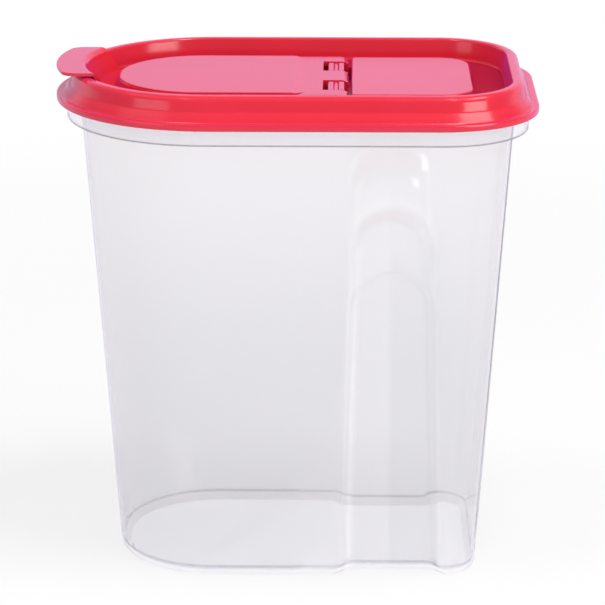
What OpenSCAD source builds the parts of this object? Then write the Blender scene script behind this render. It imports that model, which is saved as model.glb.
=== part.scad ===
// Clear cereal container with a red press-on lid and a flip-up pouring flap.
// Millimetres. X runs from the pour end to the grip end, Y from front to back, Z up from the table.
// The origin is on the table, under the middle of the lid.

/* [Lid outline] */
// Length of the lid over its lip
lid_length = 241; // [216:1:270]
// Width of the lid over its lip, which is also the diameter of the round pour end
lid_width = 154; // [140:1:164]
// Radius of the two corners at the grip end
grip_corner_r = 48; // [40:1:60]

/* [Tub] */
// Height of the tub from the table to the top of its rim
tub_height = 240.4; // [215:0.2:290]
// Length of the base
base_length = 183.4; // [176:0.2:196]
// Width of the base
base_width = 110; // [106:0.5:118]
// How far the middle of the base lies towards the grip end
base_shift = 0.4; // [-2:0.1:2]
// Radius of the base's corners at the pour end
base_pour_r = 49; // [40:0.5:52]
// Radius of the base's corners at the grip end
base_grip_r = 17; // [12:0.5:19]
// Thickness of the tub's wall
tub_wall = 1.5; // [1.2:0.1:2]
// Thickness of the tub's floor
tub_floor = 2; // [1.6:0.1:3]
// Radius of the round between the base and the walls
base_edge_r = 4; // [3:0.5:6]
// Radius of the fillet round the inside of the floor
floor_fillet_r = 3.5; // [2:0.5:5]

/* [Tub rim] */
// How far the outer face of the wall lies inside the lid's lip, at the rim
wall_inset = 12.4; // [11:0.1:14]
// How far the outer face of the skirt lies inside the lid's lip
skirt_inset = 5; // [4:0.1:6]
// Height of the skirt and the rim above it
skirt_height = 10.1; // [7:0.1:14]
// Thickness of the skirt
skirt_wall = 1.4; // [1.1:0.1:1.8]
// Thickness of the flange that carries the skirt
flange_t = 1.8; // [1.4:0.1:2.4]
// Gap between the rim's bead and the inside of the lid's lip
bead_gap = 0.4; // [0.3:0.05:0.6]
// Height of the bead's upright face
bead_h = 1.1; // [0.8:0.1:1.3]

/* [Grip recess] */
// Distance from the lid's grip end to the middle of the recess
recess_from_end = 72; // [66:0.5:90]
// Half width of the lower recess where it meets the table
recess_foot_half = 25; // [22:0.5:27]
// Radius of the lower recess's arch
recess_r = 21.5; // [19:0.5:24]
// Height of the centre of the lower recess's arch
recess_arch_z = 143; // [120:1:160]
// Depth of the lower recess at the table
recess_depth = 7.7; // [6:0.1:9]
// Angle by which the floor of the lower recess leans outwards
recess_lean = 1; // [0.5:0.1:1.6]
// Width of the sloped sides of the recess
recess_ramp = 5; // [4:0.1:7]
// Height of the centre of the upper pocket's arch above the lower one
pocket_rise = 35.4; // [32:0.1:42]
// Radius of the upper pocket's arch
pocket_r = 20.6; // [18:0.1:21]
// Depth of the upper pocket
pocket_depth = 7.4; // [6:0.1:8]
// How far the pocket's ceiling slopes down beyond its sides
pocket_slope = 9.9; // [8:0.1:12]

/* [Lid ring] */
// Thickness of the lid's ring and deck
lid_wall = 1.7; // [1.5:0.05:1.9]
// Thickness of the lid's outer lip
lip_wall = 1.8; // [1.5:0.05:2.1]
// Height of the lip's outer face
lip_height = 3.5; // [3.2:0.1:3.7]
// How far the lip hangs below the top of the rim
lip_drop = 1.4; // [1.3:0.1:1.8]
// How far the foot of the flare lies inside the lip
flare_inset = 2.9; // [2.6:0.1:3.1]
// Width of the flare below the ring
flare_w = 3.7; // [3.4:0.1:4]
// Height of the flare below the ring
flare_h = 4.7; // [4.3:0.1:5]
// How far the ring's outer wall leans inwards over its height
ring_lean = 1.5; // [1:0.1:1.8]
// Width of the ring's crown
ring_crown = 5.2; // [4.8:0.1:5.6]
// How far the ring's inner wall slopes from its crown to the channel
ring_draft = 1.6; // [1.2:0.1:2]
// Height of the ring's crown above the channel floor
ring_height = 11.3; // [10.5:0.1:13]
// Height of the channel floor above the top of the rim
deck_rise = 2.6; // [2.4:0.1:3]
// How far the plug skirt reaches down inside the tub
plug_depth = 5; // [4:0.1:8]
// Half width of the slot in the ring's outer wall at the pour end
thumb_slot_half = 15; // [12:0.5:18]
// Half width of the slot in the ring's outer wall at the grip end
pull_slot_half = 37; // [30:0.5:38]
// Height of the lower edge of both slots above the flare's foot
slot_rise = 3.6; // [3.2:0.1:4]
// Height of both slots
slot_height = 6; // [5:0.1:6.4]

/* [Deck and spout] */
// Width of the channel between the ring and the flap at the pour end
pour_channel = 15; // [14:0.5:17]
// Height of the spout's wall above the channel floor
spout_rise = 3.9; // [3:0.1:4]
// Thickness of the spout's wall
spout_wall = 1.6; // [1.3:0.05:1.8]
// Length of the raised deck at the grip end
deck_length = 60; // [50:0.5:64]
// Half width of the raised deck
deck_half = 42; // [38:0.5:43]
// Distance from the lid's grip end to the raised deck
deck_from_end = 32.5; // [30:0.5:40]
// Height of the raised deck above the channel floor
deck_height = 6.2; // [5.5:0.1:6.6]
// Radius of the raised deck's corners at the grip end
deck_grip_r = 15.5; // [10:0.5:20]
// Radius of the raised deck's corners beside the hinge
deck_hinge_r = 2.5; // [2.2:0.1:4]
// Radius of the round on the raised deck's upper edge
deck_edge_r = 1; // [0.5:0.1:1.2]
// Radius of the spout's corners beside the hinge
spout_corner_r = 4.5; // [4:0.1:8]
// Length of the trench under the hinge
trench_length = 16.5; // [16.2:0.1:17.5]
// Half width of the trench
trench_half = 44; // [43.8:0.1:46]
// Depth of the trench below the channel floor
trench_depth = 4.2; // [4:0.1:5]

/* [Hinge] */
// Distance from the raised deck to the hinge axis
hinge_from_deck = 7.8; // [7.4:0.1:8.1]
// Height of the hinge axis above the channel floor
hinge_rise = 3.9; // [3.8:0.05:4.1]
// Radius of the moulded hinge pins
pin_r = 1.6; // [1.5:0.05:1.8]
// Radial clearance of a pin in its prongs
pin_clearance = 0.05; // [0.02:0.01:0.09]
// Thickness of each prong above the pin
prong_wall = 2.7; // [2.2:0.05:2.8]
// Width of the mouth between a pair of prongs
prong_mouth = 2.8; // [2.6:0.05:2.9]
// Height of the prongs above the channel floor
prong_rise = 5.8; // [5.4:0.05:5.9]
// Distance from the middle of the lid to the middle of each pair of prongs
prong_y = 21.1; // [19:0.1:23]
// Length of each prong along the hinge
prong_length = 17.4; // [14:0.1:18]
// Length of each notch in the flap along the hinge
notch_length = 21; // [20.5:0.1:22]
// Distance from the hinge axis to the closed end of each notch
notch_reach = 6.6; // [6.3:0.1:7]

/* [Flap] */
// Thickness of the flap's top
flap_t = 1.8; // [1.5:0.05:1.9]
// Thickness of the flap's side walls
flap_wall = 1.6; // [1.3:0.05:1.7]
// Half width of the flap at its foot
flap_half = 43; // [42.5:0.1:43.4]
// How far the flap's side walls lean inwards
flap_draft = 1.2; // [1:0.05:1.3]
// Height of the flap's raised pad above the channel floor
pad_rise = 7; // [6.8:0.05:7.2]
// Step from the raised pad down to the hinge strip
pad_step = 0.85; // [0.6:0.05:0.9]
// How far the pad's edge lies inside the flap's foot
pad_inset = 1.5; // [1.4:0.05:1.8]
// Distance from the hinge axis to the pad's end
pad_from_hinge = 15.2; // [12:0.1:20]
// Radius of the pad's corners beside the hinge
pad_corner_r = 8; // [4:0.5:12]
// Length of the slope from the pad down to the hinge strip
pad_ramp = 6; // [4:0.5:8]
// Half width of the hinge strip
strip_half = 42.5; // [42:0.1:42.9]
// Length of the flap's tail beyond the hinge axis
tail_length = 6.3; // [5.5:0.1:6.4]
// How far the tail's lower edge hangs below the hinge axis
tail_drop = 2.1; // [2:0.1:2.4]
// Radius of the round on the tail
tail_r = 3.5; // [2.4:0.1:3.6]
// Thickness of the plug ring that closes the spout
stopper_wall = 1.4; // [1.2:0.05:1.6]
// Gap between the plug ring and the spout
stopper_gap = 0.35; // [0.3:0.05:0.5]
// How far the plug ring's foot is drawn in and cut short, to lead it into the spout
stopper_lead = 0.4; // [0.2:0.05:0.5]

/* [Thumb tab] */
// Thickness of the tab and its strap
tab_t = 1.6; // [1.4:0.05:1.7]
// Gap between the ring's crown and the tab
tab_gap = 0.8; // [0.6:0.05:1]
// Half width of the tab
tab_half = 30; // [24:0.5:32]
// Radius of the tab's outer corners
tab_corner_r = 8; // [5:0.5:12]
// How far the tab's outer edge lies inside the lip
tab_inset = 0.3; // [0.3:0.1:2]
// Distance from the lip to the fold where the tab meets its strap
fold_inset = 14.2; // [14:0.1:15]
// Distance from the lip to the foot of the strap
strap_inset = 21.5; // [20.5:0.1:22]

/* [Rounds] */
// Radius of the rounds on thin edges
edge_r = 0.5; // [0.3:0.05:0.6]
// Radius of the round on top of the lid's lip
lip_edge_r = 1; // [0.6:0.1:1.3]
// Radius of the fillet where the flare meets the lip
flare_foot_r = 0.8; // [0.5:0.1:1]
// Radius of the fillet where the ring's outer wall meets the flare
flare_head_r = 2; // [1:0.1:2.2]
// Radius of the round on the outer edge of the ring's crown
crown_outer_r = 3.2; // [2.4:0.1:3.3]
// Radius of the round on the inner edge of the ring's crown
crown_inner_r = 1.3; // [0.8:0.1:1.5]
// Radius of the fillet round the channel
channel_r = 2; // [1:0.1:2.5]
// Radius of the rounds on the upper edges of the prongs
prong_edge_r = 0.7; // [0.4:0.05:0.8]
// Radius of the rounds on the edges of the spout, the pad and the tab
wall_edge_r = 0.6; // [0.4:0.05:0.65]
// Radius of the fillet where the strap leaves the flap
strap_fillet_r = 1; // [0.6:0.1:1.4]
// Radius of the round where the strap meets the tab
fold_r = 2.5; // [1.5:0.1:2.8]
// Radius of the fillets under the strap
strap_under_r = 1.5; // [1:0.1:1.8]

/* [Hidden] */
$fn = 96;

// Gap between pieces that seat on each other or move past each other
seat_gap = 0.3;
// How far one solid of a piece reaches into the next so that they join
bite = 0.4;
// How far cutting solids reach past the faces that they cut
over = 1;
// Slope of the lip's top, from its edge down to the flare
lip_slope = 0.3;
// Radius of the thick ends that carry each pin, beyond the pin itself
cheek_wall = 1.9;
// How far the pad's slope ends under the top of the hinge strip
ramp_sink = 0.05;
// Steps in each quarter turn of the tub's faceted corners, and in a rounded section's corner
pour_steps = 16;
grip_steps = 12;
edge_steps = 4;
// Shortest straight run worth sweeping
short_run = 0.01;
// Number of corners of every outline
corners = 4;
// Grid that the points of a section lie on
grid = 0.001;

// Heights that the pieces share
rim_z = tub_height;
seat_z = rim_z + seat_gap;
floor_z = rim_z + deck_rise;
under_z = floor_z - lid_wall;
lip_z = rim_z - lip_drop;
lip_top_z = lip_z + lip_height;
crown_z = floor_z + ring_height;
deck_z = floor_z + deck_height;
spout_z = floor_z + spout_rise;
trench_z = floor_z - trench_depth;
hinge_z = floor_z + hinge_rise;
foot_z = floor_z + seat_gap;
pad_z = floor_z + pad_rise;
strip_z = pad_z - pad_step;
tab_z = crown_z + tab_gap + tab_t;
skirt_z = rim_z - skirt_height;

// Places along X that the pieces share
end_x = lid_length / 2;
half_w = lid_width / 2;
pour_centre_x = half_w - end_x;
deck_x1 = end_x - deck_from_end;
deck_x0 = deck_x1 - deck_length;
hinge_x = deck_x0 - hinge_from_deck;
trench_x0 = deck_x0 - trench_length;
recess_x = end_x - recess_from_end;

// Insets from the lip that the ring, the plug skirt and the rim share
ring_foot = flare_inset + flare_w;
ring_edge = ring_foot + ring_lean;
ring_inner = ring_edge + ring_crown;
channel_inset = ring_inner + ring_draft;
inner_inset = wall_inset + tub_wall;
plug_inset = inner_inset + seat_gap;
bead_inset = lip_wall + bead_gap;
deck_inset = channel_inset + 2 * lid_wall;

// An outline is four corners, counter-clockwise from the front of the pour end,
// each with its centre, its radius and the angle at which it starts
function outline(x0, x1, half, r0, r1) = [
    [x0 + r0, r0 - half, r0, 180],
    [x1 - r1, r1 - half, r1, 270],
    [x1 - r1, half - r1, r1, 0],
    [x0 + r0, half - r0, r0, 90]
];

// The same outline, drawn in by an inset
function inset(path, d) = [for (c = path) [c[0], c[1], c[2] - d, c[3]]];

// Direction at an angle in plan
function turn(a) = [cos(a), sin(a)];

// Point of a closed path by its number, counted round
function item(path, i) = path[(i + len(path)) % len(path)];

// Unit vector
function unit(v) = v / norm(v);

// Arc that rounds corner p between its neighbours a and b, or p itself where its radius is 0
function rounded_corner(a, p, b) =
    p[2] == 0 ? [[p[0], p[1]]] :
    let (
        o = [p[0], p[1]],
        u = unit([a[0], a[1]] - o),
        v = unit([b[0], b[1]] - o),
        half_angle = acos(u * v) / 2,
        reach = p[2] / tan(half_angle),
        centre = o + unit(u + v) * p[2] / sin(half_angle),
        start = o + u * reach - centre,
        end = o + v * reach - centre,
        sweep = acos(unit(start) * unit(end)),
        side = start[0] * end[1] - start[1] * end[0] > 0 ? 1 : -1,
        first = atan2(start[1], start[0])
    )
    [for (i = [0 : edge_steps]) centre + p[2] * turn(first + side * sweep * i / edge_steps)];

// Number put on a grid, so that runs and corners of one section meet exactly
function snap(v) = round(v / grid) * grid;

// Closed section whose points are [inset, height, corner radius]
function section(path) = [
    for (i = [0 : len(path) - 1])
        for (p = rounded_corner(item(path, i - 1), path[i], item(path, i + 1))) [snap(p[0]), snap(p[1])]
];

// Section swept exactly round an outline: quarter turns at the corners and straight runs between
module band(path, points) {
    for (i = [0 : corners - 1]) {
        corner = path[i];
        next = item(path, i + 1);
        travel = turn(corner[3] + 180);
        run = (next[0] - corner[0]) * travel[0] + (next[1] - corner[1]) * travel[1];
        shape = [for (p = points) [corner[2] - p[0], p[1]]];
        translate([corner[0], corner[1], 0])
            rotate([0, 0, corner[3]])
                rotate_extrude(angle = 90)
                    polygon(shape);
        if (run > short_run)
            translate([corner[0], corner[1], 0])
                rotate([0, 0, corner[3] + 90])
                    translate([0, run, 0])
                        rotate([90, 0, 0])
                            linear_extrude(run)
                                polygon(shape);
    }
}

// Points where an outline's arcs start and end, without the doubled ones of a full round end
function knots(path) =
    let (all = [for (c = path) each [[c[0], c[1]] + c[2] * turn(c[3]), [c[0], c[1]] + c[2] * turn(c[3] + 90)]])
    [for (i = [0 : len(all) - 1]) if (norm(all[i] - item(all, i - 1)) > short_run) all[i]];

// Flat plate with an outline's shape
module plate(path, z0, z1) {
    translate([0, 0, z0])
        linear_extrude(z1 - z0)
            polygon(knots(path));
    for (c = path)
        translate([c[0], c[1], z0])
            rotate([0, 0, c[3]])
                rotate_extrude(angle = 90)
                    square([c[2], z1 - z0]);
}

// Box between two corners
module block(low, high) {
    translate(low)
        cube(high - low);
}

// Section in X and Z, extruded along Y
module across(points, y0, y1) {
    translate([0, y1, 0])
        rotate([90, 0, 0])
            linear_extrude(y1 - y0)
                polygon(points);
}

// Its children, and their mirror image on the other side of the middle
module both_sides() {
    children();
    mirror([0, 1, 0])
        children();
}

// Points of one ring of the tub: an outline at a height, with its corners in steps
function ring_points(path, z) = [
    for (c = path)
        let (steps = c[0] < base_shift ? pour_steps : grip_steps)
        for (i = [0 : steps]) [c[0] + c[2] * cos(c[3] + 90 * i / steps), c[1] + c[2] * sin(c[3] + 90 * i / steps), z]
];

// Solid through a list of rings that have the same number of points
module loft(rings) {
    n = len(rings[0]);
    last = len(rings) - 1;
    points = [for (ring = rings) each ring];
    sides = [
        for (k = [0 : last - 1], i = [0 : n - 1])
            let (j = (i + 1) % n)
            each [
                [k * n + i, (k + 1) * n + i, (k + 1) * n + j],
                [k * n + i, (k + 1) * n + j, k * n + j]
            ]
    ];
    bottom = [for (i = [0 : n - 1]) i];
    top = [for (i = [n - 1 : -1 : 0]) last * n + i];
    polyhedron(points, concat([bottom], sides, [top]), convexity = 8);
}

// The lid's outline at the lip, which the rim follows too
lip_path = outline(-end_x, end_x, half_w, half_w, grip_corner_r);

// Outline of the tub's outer wall at a height: it tapers from the base to the skirt, then stands upright
function wall_share(z) = min(1, z / skirt_z);
function mix(a, b, t) = a + (b - a) * t;
function wall_path(z, d = 0) =
    let (
        t = wall_share(z),
        base_mid = base_shift,
        x0 = mix(base_mid - base_length / 2, -end_x + wall_inset, t),
        x1 = mix(base_mid + base_length / 2, end_x - wall_inset, t),
        half = mix(base_width / 2, half_w - wall_inset, t),
        r0 = mix(base_pour_r, half_w - wall_inset, t),
        r1 = mix(base_grip_r, grip_corner_r - wall_inset, t)
    )
    inset(outline(x0, x1, half, r0, r1), d);

// Half width of the tub's outer wall at a height
function wall_y(z) = mix(base_width / 2, half_w - wall_inset, wall_share(z));

// Rings that round the foot of a wall: radius r, starting at height z0, drawn in by d
function foot_rings(r, z0, d) = [
    for (i = [0 : edge_steps])
        let (a = 90 * i / edge_steps, z = z0 + r * (1 - cos(a)))
        ring_points(wall_path(z, d + r * (1 - sin(a))), z)
];

// Outside of the tub, with its skirt and its rim, as one solid
module tub_outside() {
    flange_z = rim_z - flange_t;
    loft(concat(
        foot_rings(base_edge_r, 0, 0),
        [
            ring_points(wall_path(skirt_z), skirt_z),
            ring_points(wall_path(flange_z), flange_z),
            ring_points(inset(lip_path, skirt_inset + skirt_wall), flange_z),
            ring_points(inset(lip_path, skirt_inset + skirt_wall), skirt_z),
            ring_points(inset(lip_path, skirt_inset), skirt_z),
            ring_points(inset(lip_path, skirt_inset), flange_z),
            ring_points(inset(lip_path, bead_inset), rim_z - bead_h),
            ring_points(inset(lip_path, bead_inset), rim_z)
        ]
    ));
}

// Hollow of the tub, open above the rim
module tub_inside() {
    loft(concat(
        foot_rings(floor_fillet_r, tub_floor, tub_wall),
        [
            ring_points(wall_path(skirt_z, tub_wall), skirt_z),
            ring_points(wall_path(rim_z, tub_wall), rim_z + over)
        ]
    ));
}

// How much wider a recess is inside the wall, so that its sloped sides keep the wall's thickness
function side_growth(run, depth, wall) = wall * (sqrt(run * run + depth * depth) - run) / depth;

// Arch outline of a recess, from its foot on one side over the top to the other side
function arch(half, foot_z, r, top_z) = concat(
    [[recess_x - half, foot_z]],
    [for (i = [0 : 2 * grip_steps]) [recess_x - r * cos(90 * i / grip_steps), top_z + r * sin(90 * i / grip_steps)]],
    [[recess_x + half, foot_z]]
);

// Solid that runs from the arch on the recess's floor through the arch on the wall, and on out past the wall
module recess_solid(outer, inner, wall, floor_at, lean) {
    wall_ring = [for (p = outer) [p[0], wall - wall_y(p[1]), p[1]]];
    floor_ring = [for (p = inner) [p[0], wall - floor_at - p[1] * tan(lean), p[1]]];
    outside_ring = [for (i = [0 : len(outer) - 1]) 2 * wall_ring[i] - floor_ring[i]];
    loft([outside_ring, floor_ring]);
}

// Two-step finger recess in the front wall, or the same drawn in by the wall's thickness
module recess(wall) {
    low_z = -over;
    deep = wall_y(recess_arch_z) - (base_width / 2 - recess_depth) - recess_arch_z * tan(recess_lean);
    grow = side_growth(recess_ramp, deep, tub_wall) * wall / tub_wall;
    recess_solid(
        arch(recess_foot_half + grow, low_z, recess_r + grow, recess_arch_z),
        arch(recess_foot_half - recess_ramp + grow, low_z, recess_r - recess_ramp + grow, recess_arch_z),
        wall,
        base_width / 2 - recess_depth,
        recess_lean
    );
    pocket_z = recess_arch_z + pocket_rise;
    pocket_foot_z = recess_arch_z - 2 * recess_ramp;
    pocket_grow = side_growth(recess_ramp, pocket_depth, tub_wall) * wall / tub_wall;
    recess_solid(
        arch(pocket_r + pocket_grow, pocket_foot_z, pocket_r + pocket_grow, pocket_z),
        arch(
            pocket_r - recess_ramp + pocket_grow,
            pocket_foot_z,
            pocket_r - recess_ramp + pocket_grow,
            pocket_z - pocket_slope
        ),
        wall,
        wall_y(pocket_z) - pocket_depth,
        0
    );
}

// Clear tub: shell with a skirt and a bead at its rim and a finger recess in its front and back walls
module container() {
    color("lavender", 0.5)
        difference() {
            tub_outside();
            both_sides()
                recess(0);
            difference() {
                tub_inside();
                both_sides()
                    recess(tub_wall);
            }
        }
}

// Section of the lid's lip, ring, channel edge and plug skirt
function lid_section() =
    let (
        flare_z = lip_top_z - lip_slope,
        slope = norm([flare_w, flare_h]),
        under_x = flare_inset + lid_wall * flare_h / slope,
        under_z0 = lip_top_z - lid_wall * flare_w / slope,
        flare_seat = under_x - (under_z0 - seat_z) * flare_w / flare_h,
        hollow_z = crown_z - lid_wall,
        inner_slope = ring_draft / ring_height
    )
    section([
        [0, lip_z, edge_r],
        [0, lip_top_z, lip_edge_r],
        [flare_inset, flare_z, flare_foot_r],
        [ring_foot, flare_z + flare_h, flare_head_r],
        [ring_edge, crown_z, crown_outer_r],
        [ring_inner, crown_z, crown_inner_r],
        [channel_inset, floor_z, channel_r],
        [deck_inset, floor_z, 0],
        [deck_inset, under_z, 0],
        [plug_inset + lid_wall, under_z, wall_edge_r],
        [plug_inset + lid_wall, rim_z - plug_depth, edge_r],
        [plug_inset, rim_z - plug_depth, edge_r],
        [plug_inset, seat_z, 0],
        [channel_inset + (floor_z - seat_z) * inner_slope - lid_wall, seat_z, 0],
        [ring_inner - lid_wall, hollow_z, wall_edge_r],
        [ring_edge + lid_wall, hollow_z, crown_outer_r - lid_wall],
        [ring_foot + lid_wall, flare_z + flare_h - lid_wall / 2, flare_foot_r],
        [flare_seat, seat_z, 0],
        [lip_wall, seat_z, 0],
        [lip_wall, lip_z, edge_r]
    ]);

// Slots through the ring's outer wall: one under the thumb tab, one to pull the lid off by
module ring_slots() {
    slot_z = lip_top_z + slot_rise;
    reach = ring_edge + lid_wall + over;
    block([-end_x - over, -thumb_slot_half, slot_z], [-end_x + reach, thumb_slot_half, slot_z + slot_height]);
    block([end_x - reach, -pull_slot_half, slot_z], [end_x + over, pull_slot_half, slot_z + slot_height]);
}

// The spout's outer face, which the flap's plug ring follows
spout_gap = flap_draft + flap_wall + seat_gap;
flap_x0 = -end_x + channel_inset + pour_channel;
spout_path = outline(
    flap_x0 + spout_gap,
    trench_x0,
    flap_half - spout_gap,
    flap_half - spout_gap,
    spout_corner_r
);
trench_path = outline(trench_x0, deck_x0, trench_half, spout_wall, spout_wall);
deck_path = outline(deck_x0, deck_x1, deck_half, deck_hinge_r, deck_grip_r);

// Pair of upright prongs that a hinge pin snaps into
module prongs() {
    half = prong_mouth / 2 + prong_wall;
    y0 = prong_y - prong_length / 2;
    y1 = prong_y + prong_length / 2;
    top_z = floor_z + prong_rise;
    difference() {
        across(
            section([
                [hinge_x - half, trench_z - bite, 0],
                [hinge_x + half, trench_z - bite, 0],
                [hinge_x + half, top_z, prong_edge_r],
                [hinge_x - half, top_z, prong_edge_r]
            ]),
            y0,
            y1
        );
        translate([hinge_x, y1 + over, hinge_z])
            rotate([90, 0, 0])
                cylinder(r = pin_r + pin_clearance, h = prong_length + 2 * over);
        block(
            [hinge_x - prong_mouth / 2, y0 - over, hinge_z],
            [hinge_x + prong_mouth / 2, y1 + over, top_z + over]
        );
    }
}

// Red lid: lip, hollow ring and channel, with the spout, the hinge trench and the raised deck inside
module lid() {
    color("crimson") {
        difference() {
            band(lip_path, lid_section());
            ring_slots();
        }
        difference() {
            plate(inset(lip_path, deck_inset - bite), under_z, floor_z);
            plate(inset(spout_path, spout_wall / 2), under_z - over, floor_z + over);
            plate(inset(trench_path, -spout_wall / 2), under_z - over, floor_z + over);
            plate(inset(deck_path, lid_wall / 2), under_z - over, floor_z + over);
        }
        // Spout wall, with a rounded edge
        band(spout_path, section([
            [0, under_z, 0],
            [0, spout_z, wall_edge_r],
            [spout_wall, spout_z, wall_edge_r],
            [spout_wall, under_z, 0]
        ]));
        // Trench under the hinge
        band(trench_path, [
            [-spout_wall, floor_z],
            [0, floor_z],
            [0, trench_z - bite],
            [-spout_wall, trench_z - spout_wall]
        ]);
        plate(inset(trench_path, -bite), trench_z - spout_wall, trench_z);
        // Raised deck
        band(deck_path, section([
            [0, under_z, 0],
            [0, deck_z, deck_edge_r],
            [lid_wall, deck_z, 0],
            [lid_wall, under_z, 0]
        ]));
        plate(inset(deck_path, lid_wall - bite), deck_z - lid_wall, deck_z);
        both_sides()
            prongs();
    }
}

// The flap's foot and the edge of its raised pad
flap_path = outline(flap_x0, hinge_x, flap_half, flap_half, pad_corner_r);
pad_path = outline(
    flap_x0 + pad_inset,
    hinge_x - pad_from_hinge,
    flap_half - pad_inset,
    flap_half - pad_inset,
    pad_corner_r
);

// Raised pad with a rounded edge
module raised_pad() {
    band(pad_path, section([
        [0, strip_z - flap_t / 2, 0],
        [0, pad_z, wall_edge_r],
        [pad_inset, pad_z, 0],
        [pad_inset, strip_z - flap_t / 2, 0]
    ]));
    plate(inset(pad_path, pad_inset - bite), pad_z - flap_t, pad_z);
}

// What is cut off the pad's end so that it slopes down to the hinge strip and ends just under its top
function ramp_cut() =
    let (
        pad_x1 = hinge_x - pad_from_hinge,
        fall = (pad_step + ramp_sink) / pad_ramp
    )
    [
        [pad_x1 - 2 * pad_ramp, pad_z + pad_ramp * fall],
        [pad_x1 + over, pad_z - (pad_ramp + over) * fall],
        [pad_x1 + over, pad_z + pad_ramp * fall]
    ];

// Top of the hinge strip, with its tail rounded over
module hinge_strip() {
    tail_x = hinge_x + tail_length;
    join_x = hinge_x - pad_from_hinge - pad_corner_r;
    across(
        section([
            [join_x, strip_z, 0],
            [tail_x, strip_z, tail_r],
            [tail_x, hinge_z - tail_drop, edge_r],
            [tail_x - flap_wall, hinge_z - tail_drop, edge_r],
            [tail_x - flap_wall, strip_z - flap_t, tail_r - flap_wall],
            [join_x, strip_z - flap_t, 0]
        ]),
        -strip_half,
        strip_half
    );
}

// Side wall of the hinge strip
module strip_side() {
    tail_x = hinge_x + tail_length;
    across(
        section([
            [hinge_x - pad_from_hinge, foot_z, 0],
            [tail_x, foot_z, lip_edge_r],
            [tail_x, strip_z, tail_r],
            [hinge_x - pad_from_hinge, strip_z, 0]
        ]),
        strip_half - flap_wall,
        strip_half
    );
}

// Cheek beside a notch, which carries the end of a pin
module cheek(y0) {
    y1 = y0 + flap_wall;
    intersection() {
        union() {
            translate([hinge_x, y1, hinge_z])
                rotate([90, 0, 0])
                    cylinder(r = pin_r + cheek_wall, h = flap_wall);
            block(
                [hinge_x - notch_reach, y0, hinge_z],
                [hinge_x + tail_length - bite, y1, strip_z - flap_t / 2]
            );
        }
        block(
            [hinge_x - notch_reach - over, y0 - over, foot_z - over],
            [hinge_x + tail_length + over, y1 + over, strip_z - bite]
        );
    }
}

// Hinge pin across a notch, with its two cheeks
module hinge_pin() {
    y0 = prong_y - notch_length / 2;
    translate([hinge_x, y0 + notch_length + flap_wall / 2, hinge_z])
        rotate([90, 0, 0])
            cylinder(r = pin_r, h = notch_length + flap_wall);
    cheek(y0 - flap_wall);
    cheek(y0 + notch_length);
}

// Section of the thumb tab and its strap, as [distance from the pour end's centre, height, radius]
function tab_section() =
    let (
        valley = half_w - strap_inset,
        fold = half_w - fold_inset,
        edge = half_w - tab_inset,
        root = pour_centre_x - flap_x0 - 4 * flap_wall
    )
    section([
        [root, foot_z, 0],
        [root, foot_z + tab_t, 0],
        [valley, foot_z + tab_t, strap_fillet_r],
        [fold, tab_z, fold_r],
        [edge, tab_z, wall_edge_r],
        [edge, tab_z - tab_t, wall_edge_r],
        [fold + tab_t / 2, tab_z - tab_t, strap_under_r],
        [valley + tab_t / 2, foot_z, strap_under_r]
    ]);

// Plan of the tab and its strap, about the pour end's centre: straight sides with a round at each
// outer corner that runs smoothly into the tab's outer edge
function tab_plan() =
    let (
        edge = half_w - tab_inset,
        round_y = tab_half - tab_corner_r,
        round_a = asin(round_y / (edge - tab_corner_r)),
        round_x = -(edge - tab_corner_r) * cos(round_a),
        steps = 2 * edge_steps,
        arc = [for (i = [0 : steps]) [round_x, round_y] + tab_corner_r * turn(90 + (90 - round_a) * i / steps)],
        side = concat([[0, tab_half]], arc, [(edge + 2 * tab_corner_r) * turn(180 - round_a)])
    )
    concat(side, [for (i = [len(side) - 1 : -1 : 0]) [side[i][0], -side[i][1]]]);

// Thumb tab over the ring, with the strap that joins it to the flap
module thumb_tab() {
    difference() {
        translate([pour_centre_x, 0, 0])
            intersection() {
                rotate_extrude()
                    polygon(tab_section());
                translate([0, 0, foot_z - over])
                    linear_extrude(tab_z - foot_z + 2 * over)
                        polygon(tab_plan());
            }
        plate(inset(flap_path, flap_wall), foot_z - over, tab_z + over);
    }
}

// Red flap: raised pad and hinge strip, plug ring, pins and thumb tab
module flip_cover() {
    color("hotpink") {
        // Leaning side wall round the pour end
        intersection() {
            band(flap_path, section([
                [0, foot_z, 0],
                [flap_draft, strip_z, edge_r],
                [flap_draft + flap_wall + bite, strip_z, 0],
                [flap_draft + flap_wall, strip_z - flap_t, 0],
                [flap_wall, foot_z, 0]
            ]));
            block([flap_x0 - over, -half_w, foot_z - over], [hinge_x - pad_from_hinge + bite, half_w, tab_z]);
        }
        difference() {
            raised_pad();
            across(ramp_cut(), -half_w, half_w);
        }
        difference() {
            union() {
                hinge_strip();
                both_sides()
                    strip_side();
            }
            both_sides()
                block(
                    [hinge_x - notch_reach, prong_y - notch_length / 2, foot_z - over],
                    [hinge_x + tail_length + over, prong_y + notch_length / 2, pad_z]
                );
        }
        both_sides()
            hinge_pin();
        // Plug ring inside the spout
        band(inset(spout_path, spout_wall + stopper_gap), section([
            [stopper_lead, foot_z + stopper_lead, edge_r],
            [0, spout_z, 0],
            [0, pad_z - flap_t + bite, 0],
            [stopper_wall, pad_z - flap_t + bite, 0],
            [stopper_wall, foot_z + stopper_lead, 0]
        ]));
        thumb_tab();
    }
}

container();
lid();
flip_cover();
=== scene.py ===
import math

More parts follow.
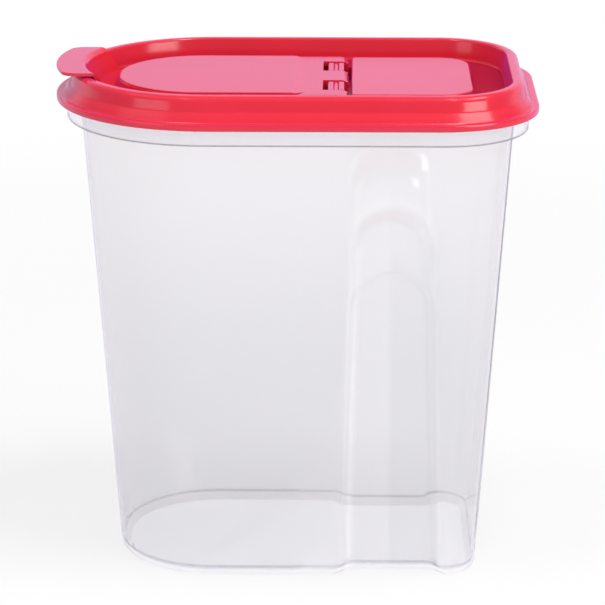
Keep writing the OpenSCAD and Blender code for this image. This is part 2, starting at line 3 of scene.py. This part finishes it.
import bpy
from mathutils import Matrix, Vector


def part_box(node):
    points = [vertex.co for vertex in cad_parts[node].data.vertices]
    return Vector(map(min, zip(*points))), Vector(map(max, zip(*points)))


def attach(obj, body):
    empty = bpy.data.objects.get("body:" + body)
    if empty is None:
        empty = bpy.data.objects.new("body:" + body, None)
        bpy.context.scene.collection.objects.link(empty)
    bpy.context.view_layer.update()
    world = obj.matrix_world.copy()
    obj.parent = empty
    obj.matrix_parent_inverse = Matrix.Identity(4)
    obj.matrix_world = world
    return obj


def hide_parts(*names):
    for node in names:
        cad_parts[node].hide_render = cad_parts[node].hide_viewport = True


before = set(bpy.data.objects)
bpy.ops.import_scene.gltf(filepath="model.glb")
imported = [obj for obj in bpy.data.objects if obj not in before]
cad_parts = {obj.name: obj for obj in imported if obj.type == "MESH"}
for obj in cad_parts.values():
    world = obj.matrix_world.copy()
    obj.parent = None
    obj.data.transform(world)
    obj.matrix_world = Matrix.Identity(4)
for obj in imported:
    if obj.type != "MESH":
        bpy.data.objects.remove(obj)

# Clear cereal tub with a red press-on lid and a flip-up flap. Sizes named here are in millimetres, and
# the meshes are in metres, in the frame's axes: X from the pour end to the grip end, Y to the back, Z up.
MM = 0.001
WHITE = (1.0, 1.0, 1.0, 1.0)
PAINTED_HIGHLIGHT = "painted_highlight"

# Start-up objects that aren't part of the scene
for name in ("Cube", "Light", "Camera"):
    if name in bpy.data.objects:
        bpy.data.objects.remove(bpy.data.objects[name])

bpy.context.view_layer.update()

# Places read from the frame
_, tub_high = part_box("container")
_, lid_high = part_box("lid")
end_x = lid_high.x / MM
half_w = lid_high.y / MM
rim_z = tub_high.z / MM
lid_top = lid_high.z

# Sizes of the tub, the same as in the CAD part
base_length = 183.4
base_width = 110.0
base_shift = 0.4
base_pour_r = 49.0
base_grip_r = 17.0
base_edge_r = 4.0
grip_corner_r = 48.0
long_wall_y = base_width / 4
tub_wall = 1.5
tub_floor = 2.0
floor_fillet_r = 3.5
wall_inset = 12.4
skirt_inset = 5.0
skirt_height = 10.1
skirt_wall = 1.4
flange_t = 1.8
bead_inset = 2.2
bead_h = 1.1
skirt_z = rim_z - skirt_height
flange_z = rim_z - flange_t

# Roundings of the rim's section, and the height of the band on the skirt's lower edge that is darkened as
# painted shade
flange_round = 0.6
skirt_round = 0.35
skirt_top_round = 0.8
bead_round = 0.3
rim_round = 0.35
rim_inner_round = 0.5
shade_band_height = 0.6

# Places on the lid: the channel's floor, the strap that joins the thumb tab to the flap's pad, and a
# place past either end
channel_z = rim_z + 2.6
strap_z = channel_z + 1.9
strap_end_x = 32.5 - end_x
tab_under_z = channel_z + 11.6
beyond_x = 2 * end_x

# Sizes of the finger recesses. The last one is how much wider they are on the wall's inner side.
recess_x = end_x - 72.0
recess_foot_half = 25.0
recess_r = 21.5
recess_arch_z = 143.0
recess_depth = 7.7
recess_lean = math.radians(1)
recess_ramp = 5.0
pocket_z = recess_arch_z + 35.4
pocket_r = 20.6
pocket_depth = 7.4
pocket_slope = 9.9
inner_grow = 0.9

# Blends of the recesses: at their outer edge, at their floors' edges and where the two steps meet
outer_round = 4.6
inner_round = 3.6
ledge_round = 2.0

# Painted highlight on the recesses: where the plastic's colour is made lighter in place of glints on
# their edges, and how much
highlight_deep = 1.0
side_highlight = 0.4
slope_centre = 0.62
slope_half = 0.5
ledge_highlight = 0.8

# Rings of the wall: far apart below the arches, close together at them, and far apart again above
plain_step = 4.5
plain_rings = 25
arch_start_z = 113
arch_step = 0.9
arch_rings = 104
top_rings_z = [208, 214, 222]
foot_steps = 12


def mix(a, b, t):
    return a + (b - a) * t


def smooth_max(a, b, k):
    """The larger of a and b, blended over a difference of k."""
    h = max(k - abs(a - b), 0) / k
    return max(a, b) + h * h * k / 4


def smooth_min(a, b, k):
    return -smooth_max(-a, -b, k)


def corners(x0, x1, half, r0, r1):
    """Four rounded corners of an outline, counter-clockwise from the front of the pour end."""
    r0 = min(r0, half - 0.1)
    return [
        (x0 + r0, r0 - half, r0, 180),
        (x1 - r1, r1 - half, r1, 270),
        (x1 - r1, half - r1, r1, 0),
        (x0 + r0, half - r0, r0, 90),
    ]


def wall_share(z):
    return min(1, z / skirt_z)


def wall_y(z):
    return mix(base_width / 2, half_w - wall_inset, wall_share(z))


def wall_corners(z):
    """Outline of the tub's outer wall at a height."""
    t = wall_share(z)
    return corners(
        mix(base_shift - base_length / 2, wall_inset - end_x, t),
        mix(base_shift + base_length / 2, end_x - wall_inset, t),
        wall_y(z),
        mix(base_pour_r, half_w - wall_inset, t),
        mix(base_grip_r, grip_corner_r - wall_inset, t),
    )


lip_corners = corners(-end_x, end_x, half_w, half_w, grip_corner_r)

# Stations round an outline: shares of each quarter turn, and of each straight run after it
pour_turn = [i / 32 for i in range(33)]
grip_turn = [i / 20 for i in range(21)]
recess_start = 0.5
plain_run = [i / 10 * recess_start for i in range(1, 10)]
recess_steps = 74
front_run = plain_run + [mix(recess_start, 1, i / recess_steps) for i in range(recess_steps)]
back_run = [1 - f for f in reversed(front_run)]
grip_run = [i / 8 for i in range(1, 8)]
turns = [pour_turn, grip_turn, grip_turn, pour_turn]
runs = [front_run, grip_run, back_run, []]


def around(path, z, inset):
    """Points of a ring: an outline drawn in by an inset, at a height."""
    points = []
    for i, (cx, cy, r, start) in enumerate(path):
        for share in turns[i]:
            a = math.radians(start + 90 * share)
            points.append((cx + (r - inset) * math.cos(a), cy + (r - inset) * math.sin(a), z))
        x0, y0, _ = points[-1]
        nx, ny, nr, n_start = path[(i + 1) % 4]
        a = math.radians(n_start)
        x1 = nx + (nr - inset) * math.cos(a)
        y1 = ny + (nr - inset) * math.sin(a)
        for share in runs[i]:
            points.append((mix(x0, x1, share), mix(y0, y1, share), z))
    return points


def arch_distance(dx, z):
    """How far a point lies inside the lower recess's edge."""
    if z > recess_arch_z:
        return recess_r - math.hypot(dx, z - recess_arch_z)
    return mix(recess_foot_half, recess_r, z / recess_arch_z) - abs(dx)


def pocket_share(dx, z, grow):
    """0 on the pocket's edge and 1 on its floor's edge. The arches between have sinking centres."""
    r = pocket_r + grow
    side = (r - abs(dx)) / recess_ramp
    if z <= pocket_z - pocket_slope * side:
        return side
    up = z - pocket_z
    a = pocket_slope ** 2 - recess_ramp ** 2
    b = 2 * (pocket_slope * up + r * recess_ramp)
    c = dx * dx + up * up - r * r
    return (math.sqrt(max(b * b - 4 * a * c, 0)) - b) / (2 * a)


def low_floor(z):
    """Depth of the lower recess's floor at a height."""
    return wall_y(z) - (base_width / 2 - recess_depth) - z * math.tan(recess_lean)


def low_depth(dx, z, grow):
    """Depth of the lower recess, with its outline drawn out by grow."""
    deep = low_floor(z)
    return smooth_min((arch_distance(dx, z) + grow) / recess_ramp * deep, deep, inner_round)


def pocket_floor(z):
    """Depth of the pocket's floor at a height."""
    return wall_y(z) - wall_y(pocket_z) + pocket_depth


def high_depth(dx, z, grow):
    """Depth of the pocket, with its outline drawn out by grow."""
    deep = pocket_floor(z)
    return smooth_min(pocket_share(dx, z, grow) * deep, deep, inner_round)


def depth(x, z, grow):
    """How deep the finger recess lies behind the wall at a point."""
    dx = x - recess_x
    stepped = smooth_max(low_depth(dx, z, grow), high_depth(dx, z, grow), ledge_round)
    return smooth_max(stepped, 0, outer_round)


def peak(value, centre, half):
    """1 where a value meets a centre, fading to 0 at half a width from it."""
    return max(0, 1 - abs(value - centre) / half)


def highlight_share(x, y, z):
    """Share of painted highlight at a point, which lightens the plastic's colour in place of glints:
    along the recess's outer edge, along the slope on its pour side and along the ledge between its two
    steps."""
    if x <= 0 or abs(y) < long_wall_y or z > skirt_z:
        return 0
    z = max(z, 0)
    dx = x - recess_x
    low = low_depth(dx, z, 0)
    high = high_depth(dx, z, 0)
    arch = min(1, max(0, (z - pocket_z) / recess_ramp + 1))
    outer = peak(depth(x, z, 0), highlight_deep, highlight_deep) * max(arch, side_highlight)
    slope = 0
    if dx < 0:
        share = max(low / low_floor(z), high / pocket_floor(z))
        slope = peak(share, slope_centre, slope_half) * (1 - arch)
    ledge = 0
    if z > recess_arch_z and min(low, high) > ledge_round:
        ledge = peak(low - high, ledge_round / 2, ledge_round) * ledge_highlight
    return max(outer, slope, ledge)


def wall_ring(z, inset, grow):
    """Ring of the tub's wall with its finger recesses."""
    points = []
    for x, y, height in around(wall_corners(z), z, inset):
        if x > 0 and abs(y) > long_wall_y:
            y -= math.copysign(depth(x, max(height, 0), grow), y)
        points.append((x, y, height))
    return points


def rounded(points, steps=3):
    """Open section of [inset, height, radius] points, with its corners rounded."""
    out = []
    for i, (x, z, r) in enumerate(points):
        if r == 0 or i in (0, len(points) - 1):
            out.append((x, z))
            continue
        p = Vector((x, z))
        u = (Vector(points[i - 1][:2]) - p).normalized()
        v = (Vector(points[i + 1][:2]) - p).normalized()
        half = math.acos(max(-1, min(1, u.dot(v)))) / 2
        centre = p + (u + v).normalized() * (r / math.sin(half))
        start = p + u * (r / math.tan(half)) - centre
        end = p + v * (r / math.tan(half)) - centre
        a0 = math.atan2(start.y, start.x)
        turn = math.atan2(start.x * end.y - start.y * end.x, start.dot(end))
        for k in range(steps + 1):
            a = a0 + turn * k / steps
            out.append((centre.x + r * math.cos(a), centre.y + r * math.sin(a)))
    return out


def mesh_object(name, points, faces):
    mesh = bpy.data.meshes.new(name)
    mesh.from_pydata([Vector(p) * MM for p in points], [], faces)
    mesh.validate()
    mesh.polygons.foreach_set("use_smooth", [True] * len(mesh.polygons))
    obj = bpy.data.objects.new(name, mesh)
    bpy.context.scene.collection.objects.link(obj)
    return obj


def heights():
    """Heights of the wall's rings, close together where the recesses have their arches."""
    plain = [base_edge_r + i * plain_step for i in range(plain_rings)]
    arches = [arch_start_z + i * arch_step for i in range(arch_rings)]
    return plain + arches + top_rings_z + [skirt_z]


def tub_rings():
    """Every ring of the tub, from the foot up the outside, over the rim and down the inside, and the
    places in that list of the rings on the skirt's lower edge."""
    rings = []
    for i in range(foot_steps):
        a = math.radians(90 * i / foot_steps)
        inset = base_edge_r * (1 - math.sin(a))
        rings.append(wall_ring(base_edge_r * (1 - math.cos(a)), inset, inset))
    for z in heights():
        rings.append(wall_ring(z, 0, 0))
    rim = rounded([
        (wall_inset, skirt_z, 0),
        (wall_inset, flange_z, flange_round),
        (skirt_inset + skirt_wall, flange_z, flange_round),
        (skirt_inset + skirt_wall, skirt_z + shade_band_height, 0),
        (skirt_inset + skirt_wall, skirt_z, skirt_round),
        (skirt_inset, skirt_z, skirt_round),
        (skirt_inset, skirt_z + shade_band_height, 0),
        (skirt_inset, flange_z, skirt_top_round),
        (bead_inset, rim_z - bead_h, bead_round),
        (bead_inset, rim_z, rim_round),
        (wall_inset + tub_wall, rim_z, rim_inner_round),
        (wall_inset + tub_wall, skirt_z, 0),
    ])
    edge = []
    for inset, z in rim[1:-1]:
        if z <= skirt_z + shade_band_height:
            edge.append(len(rings))
        rings.append(around(lip_corners, z, inset))
    for z in reversed(heights()):
        rings.append(wall_ring(z, tub_wall, inner_grow))
    for i in range(foot_steps, -1, -1):
        a = math.radians(90 * i / foot_steps)
        inset = tub_wall + floor_fillet_r * (1 - math.sin(a))
        z = tub_floor + floor_fillet_r * (1 - math.cos(a))
        rings.append(wall_ring(z, inset, inner_grow + inset - tub_wall))
    return rings, edge


def make_tub():
    rings, edge = tub_rings()
    n = len(rings[0])
    points = [p for ring in rings for p in ring]
    faces = []
    for k in range(len(rings) - 1):
        for i in range(n):
            j = (i + 1) % n
            faces.append((k * n + i, k * n + j, (k + 1) * n + j, (k + 1) * n + i))
    last = (len(rings) - 1) * n
    faces.append(tuple(reversed(range(n))))
    faces.append(tuple(last + i for i in range(n)))
    tub = mesh_object("clear_tub_shell", points, faces)
    tub.data.materials.append(clear_plastic("clear_tub_plastic", 1.0))
    # The skirt's lower edge takes the clear plastic at half its colour: painted shade that draws a dark
    # line there
    tub.data.materials.append(clear_plastic("skirt_edge_painted_shade", 0.5))
    for k in edge[:-1]:
        for polygon in tub.data.polygons[k * n:(k + 1) * n]:
            polygon.material_index = 1
    # Painted highlight: a share on each point along the recesses' edges, which the clear plastic's colour
    # reads
    painted_highlight = tub.data.attributes.new(PAINTED_HIGHLIGHT, "FLOAT", "POINT")
    painted_highlight.data.foreach_set("value", [highlight_share(*p) for p in points])
    return tub


# Materials

def new_material(name):
    material = bpy.data.materials.new(name)
    material.use_nodes = True
    nodes = material.node_tree.nodes
    shader = nodes.get("Principled BSDF")
    return material, nodes, material.node_tree.links, shader


def noise(nodes, links, vector, scale, detail=2.0):
    node = nodes.new("ShaderNodeTexNoise")
    node.inputs["Scale"].default_value = scale
    node.inputs["Detail"].default_value = detail
    links.new(vector, node.inputs["Vector"])
    return node.outputs["Fac"]


def spread(nodes, links, source, low, high):
    """Map a noise's middle range to a span of values."""
    middle_low = 0.3
    middle_high = 0.7
    node = nodes.new("ShaderNodeMapRange")
    node.inputs["From Min"].default_value = middle_low
    node.inputs["From Max"].default_value = middle_high
    node.inputs["To Min"].default_value = low
    node.inputs["To Max"].default_value = high
    links.new(source, node.inputs["Value"])
    return node.outputs["Result"]


def bump(nodes, links, shader, height, strength, distance):
    node = nodes.new("ShaderNodeBump")
    node.inputs["Strength"].default_value = strength
    node.inputs["Distance"].default_value = distance
    links.new(height, node.inputs["Height"])
    links.new(node.outputs["Normal"], shader.inputs["Normal"])


def band_mask(nodes, links, value, low, high, soft):
    """1 where a value lies between two limits, with soft ends."""
    above = nodes.new("ShaderNodeMapRange")
    above.inputs["From Min"].default_value = low - soft
    above.inputs["From Max"].default_value = low + soft
    links.new(value, above.inputs["Value"])
    below = nodes.new("ShaderNodeMapRange")
    below.inputs["From Min"].default_value = high - soft
    below.inputs["From Max"].default_value = high + soft
    below.inputs["To Min"].default_value = 1
    below.inputs["To Max"].default_value = 0
    links.new(value, below.inputs["Value"])
    return product(nodes, links, above.outputs["Result"], below.outputs["Result"])


def rise(nodes, links, value, low, high):
    """0 below a value, 1 above another, and smooth between them."""
    node = nodes.new("ShaderNodeMapRange")
    node.interpolation_type = "SMOOTHSTEP"
    node.inputs["From Min"].default_value = low
    node.inputs["From Max"].default_value = high
    links.new(value, node.inputs["Value"])
    return node.outputs["Result"]


def product(nodes, links, a, b):
    node = nodes.new("ShaderNodeMath")
    node.operation = "MULTIPLY"
    links.new(a, node.inputs[0])
    links.new(b, node.inputs[1])
    return node.outputs["Value"]


def blend_value(nodes, links, factor, a, b):
    """a where the factor is 0 and b where it is 1. Each is a number or a socket."""
    node = nodes.new("ShaderNodeMix")
    links.new(factor, node.inputs["Factor"])
    for key, value in (("A", a), ("B", b)):
        if isinstance(value, (int, float)):
            node.inputs[key].default_value = value
        else:
            links.new(value, node.inputs[key])
    return node.outputs["Result"]


def blend_colour(nodes, links, factor, a, b):
    """The same for colours."""
    node = nodes.new("ShaderNodeMix")
    node.data_type = "RGBA"
    sockets = [s for s in node.inputs if s.type == "RGBA"]
    links.new(factor, node.inputs["Factor"])
    for socket, value in zip(sockets, (a, b)):
        if isinstance(value, tuple):
            socket.default_value = value
        else:
            links.new(value, socket)
    return next(s for s in node.outputs if s.type == "RGBA")


def red_plastic(name, shade_colour, dull_shade_low, dull_shade_high, dull_shade_end_x, least_up):
    """Glossy moulded plastic: faint flow marks in the colour, uneven gloss and a slight orange peel.
    Faces that look up between two heights and before an end along X, such as the channel's floor, have
    a duller finish and a darker red, which is painted shade."""
    colour = (0.80, 0.022, 0.050, 1)
    deep = (0.76, 0.018, 0.042, 1)
    flow_scale = 18
    gloss_scale = 90
    peel_scale = 260
    peel_depth = 0.05 * MM
    past_up = 1.5
    soft_z = 0.2 * MM
    soft_x = 0.5 * MM
    soft_up = 0.1
    violet = (0.5, 0.12, 1.0, 1)
    material, nodes, links, shader = new_material(name)
    coords = nodes.new("ShaderNodeTexCoord")
    place = coords.outputs["Object"]
    split = nodes.new("ShaderNodeSeparateXYZ")
    links.new(place, split.inputs["Vector"])
    facing = nodes.new("ShaderNodeSeparateXYZ")
    links.new(coords.outputs["Normal"], facing.inputs["Vector"])
    level = band_mask(nodes, links, split.outputs["Z"], dull_shade_low * MM, dull_shade_high * MM, soft_z)
    reach = band_mask(nodes, links, split.outputs["X"], -beyond_x * MM, dull_shade_end_x * MM, soft_x)
    up = band_mask(nodes, links, facing.outputs["Z"], least_up, past_up, soft_up)
    # Mask of the recessed faces: there the gloss is duller, and the darker red is painted shade
    dull_and_shaded = product(nodes, links, product(nodes, links, level, reach), up)
    flow = spread(nodes, links, noise(nodes, links, place, flow_scale), 0, 1)
    flow_colour = blend_colour(nodes, links, flow, colour, deep)
    links.new(blend_colour(nodes, links, dull_and_shaded, flow_colour, shade_colour), shader.inputs["Base Color"])
    gloss = spread(nodes, links, noise(nodes, links, place, gloss_scale, 4), 0.3, 0.4)
    links.new(gloss, shader.inputs["Roughness"])
    bump(nodes, links, shader, noise(nodes, links, place, peel_scale, 1), 0.2, peel_depth)
    shader.inputs["Specular IOR Level"].default_value = 0.0
    shader.inputs["Coat IOR"].default_value = 1.55
    shader.inputs["Coat Roughness"].default_value = 0.16
    links.new(blend_value(nodes, links, dull_and_shaded, 1.0, 0.03), shader.inputs["Coat Weight"])
    shader.inputs["Sheen Weight"].default_value = 0.32
    shader.inputs["Sheen Roughness"].default_value = 0.4
    shader.inputs["Sheen Tint"].default_value = violet
    return material


def clear_plastic(name, level):
    """Clear, faintly milky plastic, darker towards the foot, with its colour scaled by a level. A painted
    highlight lightens it along the recesses' edges. Lamps shine through it, so that what stands inside
    and behind it gets their light. Its low refraction stands for walls of small thickness, and its coat
    gives the gloss."""
    low_z = 80
    high_z = 210
    low_colour = (0.87, 0.868, 0.888, 1)
    high_colour = (0.962, 0.959, 0.972, 1)
    skirt_colour = (0.94, 0.937, 0.952, 1)
    edge_colour = (0.9, 0.898, 0.91, 1)
    highlight_colour = (0.985, 0.98, 0.99, 1)
    shadow_colour = (0.9, 0.895, 0.915, 1)
    haze_scale = 30
    ripple_scale = 12
    ripple_depth = 0.2 * MM
    material, nodes, links, shader = new_material(name)
    place = nodes.new("ShaderNodeTexCoord").outputs["Object"]
    split = nodes.new("ShaderNodeSeparateXYZ")
    links.new(place, split.inputs["Vector"])
    height = split.outputs["Z"]
    # Darker towards the foot, blended between two heights
    higher = rise(nodes, links, height, low_z * MM, high_z * MM)
    wall = blend_colour(nodes, links, higher, low_colour, high_colour)
    skirt = rise(nodes, links, height, (skirt_z - 1) * MM, (skirt_z + 0.5) * MM)
    body = blend_colour(nodes, links, skirt, wall, skirt_colour)
    edge = nodes.new("ShaderNodeLayerWeight")
    edge.inputs["Blend"].default_value = 0.22
    tinted = blend_colour(nodes, links, edge.outputs["Facing"], body, edge_colour)
    # Painted highlight: a lighter colour along the recesses' edges in place of glints
    highlight_attribute = nodes.new("ShaderNodeAttribute")
    highlight_attribute.attribute_name = PAINTED_HIGHLIGHT
    lit = blend_colour(nodes, links, highlight_attribute.outputs["Fac"], tinted, highlight_colour)
    shade = nodes.new("ShaderNodeVectorMath")
    shade.operation = "SCALE"
    shade.inputs["Scale"].default_value = level
    links.new(lit, shade.inputs[0])
    links.new(shade.outputs["Vector"], shader.inputs["Base Color"])
    shader.inputs["Transmission Weight"].default_value = 0.92
    shader.inputs["IOR"].default_value = 1.03
    haze = spread(nodes, links, noise(nodes, links, place, haze_scale, 3), 0.04, 0.09)
    links.new(haze, shader.inputs["Roughness"])
    bump(nodes, links, shader, noise(nodes, links, place, ripple_scale, 1), 0.15, ripple_depth)
    shader.inputs["Coat Weight"].default_value = 0.8
    shader.inputs["Coat IOR"].default_value = 1.5
    shader.inputs["Coat Roughness"].default_value = 0.06
    passed = nodes.new("ShaderNodeBsdfTransparent")
    passed.inputs["Color"].default_value = shadow_colour
    light = nodes.new("ShaderNodeLightPath")
    choose = nodes.new("ShaderNodeMixShader")
    output = nodes.get("Material Output")
    links.new(light.outputs["Is Shadow Ray"], choose.inputs["Fac"])
    links.new(shader.outputs["BSDF"], choose.inputs[1])
    links.new(passed.outputs["BSDF"], choose.inputs[2])
    links.new(choose.outputs["Shader"], output.inputs["Surface"])
    return material


def seen_directly(nodes, links):
    """1 for camera, glossy and transmission rays, and 0 for the rest."""
    light = nodes.new("ShaderNodeLightPath")
    first = nodes.new("ShaderNodeMath")
    first.operation = "MAXIMUM"
    links.new(light.outputs["Is Camera Ray"], first.inputs[0])
    links.new(light.outputs["Is Glossy Ray"], first.inputs[1])
    second = nodes.new("ShaderNodeMath")
    second.operation = "MAXIMUM"
    links.new(first.outputs["Value"], second.inputs[0])
    links.new(light.outputs["Is Transmission Ray"], second.inputs[1])
    return second.outputs["Value"]


def floor_material():
    """White paper, lilac in reflections, that keeps a soft share of the object's shadow around it.
    Distances here are in metres."""
    paper = (0.97, 0.97, 0.97, 1)
    lilac = (0.86, 0.8, 1.0, 1)
    shadow_share = 0.34
    near = 0.35
    far = 0.9
    material, nodes, links, shader = new_material("white_sweep")
    shader.inputs["Base Color"].default_value = paper
    shader.inputs["Roughness"].default_value = 0.8
    distance = nodes.new("ShaderNodeVectorMath")
    distance.operation = "LENGTH"
    links.new(nodes.new("ShaderNodeTexCoord").outputs["Object"], distance.inputs[0])
    own = nodes.new("ShaderNodeMapRange")
    own.inputs["From Min"].default_value = near
    own.inputs["From Max"].default_value = far
    own.inputs["To Min"].default_value = 1 - shadow_share
    own.inputs["To Max"].default_value = 1
    links.new(distance.outputs["Value"], own.inputs["Value"])
    glow = nodes.new("ShaderNodeEmission")
    light = nodes.new("ShaderNodeLightPath")
    mirrored = nodes.new("ShaderNodeMath")
    mirrored.operation = "SUBTRACT"
    mirrored.use_clamp = True
    links.new(light.outputs["Is Glossy Ray"], mirrored.inputs[0])
    links.new(light.outputs["Is Transmission Ray"], mirrored.inputs[1])
    tint = blend_colour(nodes, links, mirrored.outputs["Value"], WHITE, lilac)
    links.new(tint, glow.inputs["Color"])
    share = product(nodes, links, seen_directly(nodes, links), own.outputs["Result"])
    choose = nodes.new("ShaderNodeMixShader")
    output = nodes.get("Material Output")
    links.new(share, choose.inputs["Fac"])
    links.new(shader.outputs["BSDF"], choose.inputs[1])
    links.new(glow.outputs["Emission"], choose.inputs[2])
    links.new(choose.outputs["Shader"], output.inputs["Surface"])
    return material


# Studio

def make_sweep():
    """White paper sweep: a level floor that curves up behind the object. Sizes here are in metres."""
    floor_x = 3.0
    front_y = -3.0
    bend_y = 2.0
    bend_r = 1.0
    top_z = 2.4
    steps = 24
    section = [(front_y, 0.0)]
    for i in range(steps + 1):
        a = math.radians(90 * i / steps)
        section.append((bend_y + bend_r * math.sin(a), bend_r * (1 - math.cos(a))))
    section.append((bend_y + bend_r, top_z))
    points = []
    for y, z in section:
        points.append((-floor_x / MM, y / MM, z / MM))
        points.append((floor_x / MM, y / MM, z / MM))
    faces = [(2 * i, 2 * i + 1, 2 * i + 3, 2 * i + 2) for i in range(len(section) - 1)]
    sweep = mesh_object("paper_sweep", points, faces)
    sweep.data.materials.append(floor_material())


def make_world():
    """White for the camera. Reflections and refractions see a bright backdrop, with a dim room above and
    in front of it, and diffuse surfaces get a plain even light."""
    to_backdrop = (0, 1, -0.8)
    backdrop_level = 1.0
    room_level = 0.32
    even_level = 0.5
    world = bpy.data.worlds.new("studio")
    bpy.context.scene.world = world
    world.use_nodes = True
    nodes = world.node_tree.nodes
    links = world.node_tree.links
    background = nodes.get("Background")
    direction = nodes.new("ShaderNodeTexCoord").outputs["Generated"]
    towards = nodes.new("ShaderNodeVectorMath")
    towards.operation = "DOT_PRODUCT"
    towards.inputs[1].default_value = to_backdrop
    links.new(direction, towards.inputs[0])
    room = nodes.new("ShaderNodeMapRange")
    room.interpolation_type = "SMOOTHSTEP"
    room.inputs["From Min"].default_value = 0.0
    room.inputs["From Max"].default_value = 0.5
    room.inputs["To Min"].default_value = room_level
    room.inputs["To Max"].default_value = backdrop_level
    links.new(towards.outputs["Value"], room.inputs["Value"])
    light = nodes.new("ShaderNodeLightPath")
    level = nodes.new("ShaderNodeMix")
    level.inputs["A"].default_value = even_level
    links.new(seen_directly(nodes, links), level.inputs["Factor"])
    links.new(room.outputs["Result"], level.inputs["B"])
    seen = nodes.new("ShaderNodeMix")
    seen.inputs["B"].default_value = 1.0
    links.new(light.outputs["Is Camera Ray"], seen.inputs["Factor"])
    links.new(level.outputs["Result"], seen.inputs["A"])
    background.inputs["Color"].default_value = WHITE
    links.new(seen.outputs["Result"], background.inputs["Strength"])


def lamp_place(side, azimuth, elevation, distance):
    """Point seen from the lid at angles from the camera's side: 1 is to the right and -1 to the left."""
    a = math.radians(azimuth)
    e = math.radians(elevation)
    return (
        side * distance * math.sin(a) * math.cos(e),
        -distance * math.cos(a) * math.cos(e),
        lid_top + distance * math.sin(e),
    )


def softbox(name, place, target, width, height, power):
    lamp = bpy.data.lights.new(name, "AREA")
    lamp.shape = "RECTANGLE"
    lamp.size = width
    lamp.size_y = height
    lamp.energy = power
    obj = bpy.data.objects.new(name, lamp)
    bpy.context.scene.collection.objects.link(obj)
    obj.location = place
    obj.rotation_euler = (Vector(target) - Vector(place)).to_track_quat("-Z", "Y").to_euler()


def make_lamps():
    """Softboxes round the lid: high ones light the object, and low ones show in the ring's inner wall."""
    distance = 1.4
    lid_centre = (0, 0, lid_top)
    # Name, side, azimuth, elevation, width, height and power
    lamps = [
        ("softbox_left", -1, 66, 48, 0.85, 0.35, 0.5),
        ("softbox_right", 1, 55, 50, 0.95, 0.35, 4.6),
        ("softbox_high_left", -1, 62, 72, 0.5, 0.3, 3.6),
        ("softbox_high_right", 1, 55, 72, 0.5, 0.3, 7),
        ("softbox_low_left", -1, 46, 5, 0.7, 0.3, 0.9),
        ("softbox_low_right", 1, 46, 5, 0.75, 0.3, 3.4),
    ]
    for name, side, azimuth, elevation, width, height, power in lamps:
        place = lamp_place(side, azimuth, elevation, distance)
        softbox(name, place, lid_centre, width, height, power)


def make_camera():
    """Camera fitted to the photograph's outlines."""
    focal_length = 171.893
    place = (23.563, -1419.98, 577.164)
    tilt_down = 17.504
    turn_left = 0.821
    camera = bpy.data.cameras.new("photo_camera")
    camera.lens = focal_length
    camera.sensor_width = 36
    camera.clip_end = 20
    obj = bpy.data.objects.new("photo_camera", camera)
    bpy.context.scene.collection.objects.link(obj)
    obj.location = Vector(place) * MM
    obj.rotation_euler = (math.radians(90 - tilt_down), 0, math.radians(turn_left))
    bpy.context.scene.camera = obj


# Assembly

tub = make_tub()
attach(tub, "tub_body")
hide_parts("container")

# Painted shade: a darker red on the lid's channel floor inside the ring and on the flap's strap under the
# tab
channel_shade_red = (0.42, 0.011, 0.016, 1)
strap_shade_red = (0.68, 0.02, 0.028, 1)
lid_plastic = red_plastic(
    "red_lid_plastic",
    shade_colour=channel_shade_red,
    dull_shade_low=channel_z - 0.2,
    dull_shade_high=channel_z + 1.5,
    dull_shade_end_x=beyond_x,
    least_up=0.7,
)
flap_plastic = red_plastic(
    "red_flap_plastic",
    shade_colour=strap_shade_red,
    dull_shade_low=strap_z - 1,
    dull_shade_high=tab_under_z,
    dull_shade_end_x=strap_end_x,
    least_up=0.2,
)
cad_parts["lid"].material_slots[0].material = lid_plastic
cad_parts["flip_cover"].material_slots[0].material = flap_plastic

make_sweep()
make_world()
make_lamps()
make_camera()
bpy.context.scene.view_settings.view_transform = "Standard"
